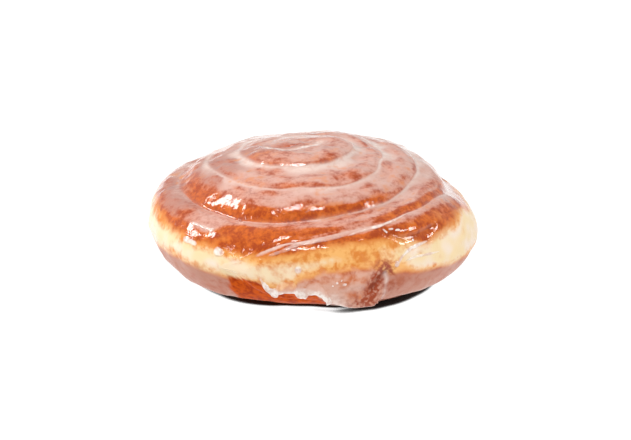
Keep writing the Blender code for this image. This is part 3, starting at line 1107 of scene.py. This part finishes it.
def lip_points(surface, angle, height, share):
    """Points on the glaze, where a level ray from outside meets the roll, lifted by the glaze's thickness."""
    ends = smooth(angle, LIP_START, LIP_START + LIP_FADE) * (1.0 - smooth(angle, LIP_END - LIP_FADE, LIP_END))
    thickness = LIP_THICKNESS * (ends * lip_profile(share) - 0.15 * (1.0 - ends))
    points, below = [], []
    for turn, up, lift in zip(angle, height, thickness):
        outwards = Vector((math.cos(turn), math.sin(turn), 0.0))
        start = RAY_START * outwards + Vector((0.0, 0.0, up))
        place, normal, *_ = surface.ray_cast(start, -outwards)
        points.append(place + float(lift) * normal)
        below.append(place - SUNK * normal)
    return np.array(points), np.array(below)


def lip_sheet(surface, sunk):
    """The lip's front as a grid laid on the roll. With sunk, the same grid just under the dough's skin."""
    sheet, along, share = flat_sheet(round((LIP_END - LIP_START) * SIDE_RADIUS / LIP_STEP), LIP_ROWS)
    angle = LIP_START + along * (LIP_END - LIP_START)
    height = eased(angle, LIP_EDGE) + share * eased(angle, LIP_HEIGHTS)
    points, below = lip_points(surface, angle, height, share)
    if sunk:
        rim = np.maximum(np.abs(along - 0.5), np.abs(share - 0.5)) > 0.4999
        points = np.where(rim[:, None], points, below)
        bmesh.ops.reverse_faces(sheet, faces=sheet.faces)
    marks = places(points, np.full(len(points), STRIP_END), np.ones(len(points)), False)
    marks["patch"] = np.zeros(len(points))
    starts = smooth(angle, LIP_START, LIP_START + LIP_FADE)
    white = 1.0 - step(points[:, 2], eased(angle, LIP_WHITE_TOP), LIP_BLEND)
    marks["lip"] = np.maximum(white, 0.25 * (1.0 - smooth(share, 0.4, 1.0))) * starts
    return laid_out(sheet, points, marks)


def surface_of(mesh):
    """A tree that finds where a ray meets a mesh, and the mesh's nearest point."""
    corners = [vertex.co.copy() for vertex in mesh.vertices]
    return BVHTree.FromPolygons(corners, [tuple(face.vertices) for face in mesh.polygons])


def lip_mesh(source):
    """Front and back of the lip, which share their rims and so close the piece."""
    surface = surface_of(source)
    body = bmesh.new()
    for sunk in (False, True):
        sheet = lip_sheet(surface, sunk)
        body.from_mesh(sheet)
        bpy.data.meshes.remove(sheet)
    bmesh.ops.remove_doubles(body, verts=body.verts, dist=WELD)
    bmesh.ops.recalc_face_normals(body, faces=body.faces)
    return as_mesh("glaze_lip", body)


glaze_lip = put("glaze_lip", lip_mesh(roll.data))
glaze_lip.data.materials.append(crust_material)
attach(glaze_lip, "root")
print("glaze lip:", len(glaze_lip.data.vertices), "points,", len(glaze_lip.data.polygons), "faces")

# %% [markdown]
# ## Beads and runs of glaze
#
# Wet glaze also stands up in thin ridges where two streams met, and in single drops. A round bead mirrors a
# lamp wherever the lamp is, so these catch the most light, and white is also painted along the top of each
# bead as a highlight. Each is swept along a short route over the roll, and otherwise takes its colour from
# the skin beside it. A row holds half the bead's width, its rise and the strength of its painted highlight,
# and then the corners of its route. All lengths in a row are in millimetres.

# %% Routes of the beads
RUNS = (
    (0.9, 0.22, 0.4, (-15.4, -56.4, 26.2), (-11.3, -56.8, 27.8), (-7.9, -56.3, 29.1), (-4.6, -55.3, 30.2),
     (-0.5, -54.7, 30.7), (3.9, -53.9, 31.1), (7.7, -53.0, 31.5), (10.7, -52.0, 31.8)),
    (0.8, 0.22, 0.9, (11.7, -51.9, 31.9), (15.2, -50.0, 32.6), (18.7, -48.6, 33.1), (22.4, -47.2, 33.5),
     (25.6, -44.3, 33.8), (29.2, -41.3, 34.3), (32.0, -38.3, 34.7)),
    (0.7, 0.18, 1.0, (29.0, -50.8, 20.8), (30.3, -49.7, 23.3), (33.5, -46.8, 25.5), (36.7, -44.2, 26.0),
     (39.6, -41.7, 26.2)),
    (0.5, 0.12, 0.8, (31.8, -48.8, 21.5), (33.9, -47.4, 22.1), (36.7, -45.6, 22.1), (40.0, -43.1, 21.9),
     (44.0, -39.3, 21.5)),
    (0.9, 0.25, 1.0, (28.2, -51.4, 20.2), (29.3, -50.6, 22.2)),
    (1.1, 0.06, 1.0, (-45.4, -36.8, 25.6), (-42.8, -40.0, 25.4), (-40.4, -42.5, 25.2)),
    (1.4, 0.06, 1.0, (-34.4, -47.0, 24.9), (-32.4, -48.5, 24.7), (-30.6, -49.7, 24.5)),
    (1.1, 0.08, 1.0, (-6.5, -59.2, 22.4), (-4.0, -59.4, 22.2)),
    (0.8, 0.14, 1.0, (-10.7, -58.6, 16.3), (-8.8, -58.8, 16.1)),
    (0.4, 0.2, 0.8, (6.2, -59.2, 16.3), (6.9, -59.2, 16.5)),
    (0.5, 0.2, 0.8, (7.5, -59.2, 17.3), (8.5, -59.2, 17.6)),
    (0.4, 0.2, 0.8, (9.3, -58.9, 18.3), (9.8, -58.9, 18.0)),
    (0.6, 0.2, 0.8, (9.8, -58.6, 16.7), (11.4, -58.2, 16.5)),
    (0.7, 0.2, 0.6, (-42.4, -34.2, 30.4), (-40.9, -36.0, 30.3), (-37.2, -39.4, 30.1), (-34.3, -42.2, 30.0)),
    (0.9, 0.25, 0.8, (-36.0, -40.6, 30.0), (-34.3, -42.2, 30.0)),
    (0.5, 0.18, 0.9, (23.6, -47.9, 32.9), (25.5, -48.0, 31.4)),
    (0.4, 0.18, 0.9, (25.6, -47.4, 32.5), (27.4, -46.6, 32.4)),
    (0.4, 0.18, 0.9, (27.8, -46.8, 31.8), (29.6, -45.8, 31.8)),
    (0.5, 0.22, 1.0, (33.7, -45.6, 27.9), (34.7, -45.2, 27.9)),
)
MILLIMETRE = 0.001
RUN_STEP = 0.0003
RUN_SIDES = 12
RUN_ROUNDING = 12
RUN_SEED = 41


def resampled(corners):
    """Points about RUN_STEP apart along a route, with its corners rounded off."""
    reach = np.concatenate([[0.0], np.cumsum(np.linalg.norm(np.diff(corners, axis=0), axis=1))])
    along = np.linspace(0.0, reach[-1], max(round(reach[-1] / RUN_STEP), 8) + 1)
    path = np.stack([np.interp(along, reach, corners[:, axis]) for axis in range(3)], axis=-1)
    for _ in range(RUN_ROUNDING):
        path[1:-1] = (path[:-2] + 2.0 * path[1:-1] + path[2:]) / 4.0
    return path


def add_run(body, surface, number, run):
    """One bead: a ring of points round each point of its route, and a cap at each end."""
    half_width, rise, painted_highlight = run[0] * MILLIMETRE, run[1] * MILLIMETRE, run[2]
    path = resampled(np.array(run[3:]) * MILLIMETRE)
    lip = body.verts.layers.float["lip"]
    rings = []
    noise.seed_set(RUN_SEED + number)
    for stop, point in enumerate(path):
        share = stop / (len(path) - 1)
        place, normal, *_ = surface.find_nearest(Vector(point))
        before, after = path[max(stop - 1, 0)], path[min(stop + 1, len(path) - 1)]
        across = Vector(after - before).cross(normal).normalized()
        taper = math.sqrt(max(1.0 - abs(2.0 * share - 1.0) ** 3, 0.01))
        taper *= 1.0 + 0.35 * noise.noise(Vector((stop * RUN_STEP / 0.003, 0.0, 0.0)))
        ring = []
        for side in range(RUN_SIDES):
            turn = 2.0 * math.pi * side / RUN_SIDES
            lift = math.sin(turn) * (rise * taper if math.sin(turn) > 0.0 else SUNK)
            vert = body.verts.new(place + math.cos(turn) * half_width * taper * across + lift * normal)
            # Painted highlight: white on the upper half of each ring, along the bead's top.
            vert[lip] = painted_highlight * max(math.sin(turn), 0.0) * min(taper, 1.0)
            ring.append(vert)
        rings.append(ring)
    for ring, following in zip(rings, rings[1:]):
        for side in range(RUN_SIDES):
            next_side = (side + 1) % RUN_SIDES
            body.faces.new((ring[side], ring[next_side], following[next_side], following[side]))
    body.faces.new(rings[0])
    body.faces.new(rings[-1])


def runs_mesh(source):
    """All beads in one mesh, coloured like the skin beside them, with painted highlights along their tops."""
    surface = surface_of(source)
    body = bmesh.new()
    body.verts.layers.float.new("lip")
    for number, run in enumerate(RUNS):
        add_run(body, surface, number, run)
    bmesh.ops.recalc_face_normals(body, faces=body.faces)
    mesh = as_mesh("glaze_runs_painted_glints", body)
    nearby = KDTree(len(source.vertices))
    for vertex in source.vertices:
        nearby.insert(vertex.co, vertex.index)
    nearby.balance()
    matches = [nearby.find(vertex.co)[1] for vertex in mesh.vertices]
    for attribute in source.attributes:
        if attribute.data_type == "FLOAT" and attribute.domain == "POINT" and attribute.name != "lip":
            copied = mesh.attributes.new(attribute.name, "FLOAT", "POINT")
            for index, match in enumerate(matches):
                copied.data[index].value = attribute.data[match].value
    return mesh


glaze_runs_painted_glints = put("glaze_runs_painted_glints", runs_mesh(roll.data))
glaze_runs_painted_glints.data.materials.append(crust_material)
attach(glaze_runs_painted_glints, "root")
print("glaze runs:", len(glaze_runs_painted_glints.data.vertices), "points,", len(glaze_runs_painted_glints.data.polygons), "faces")
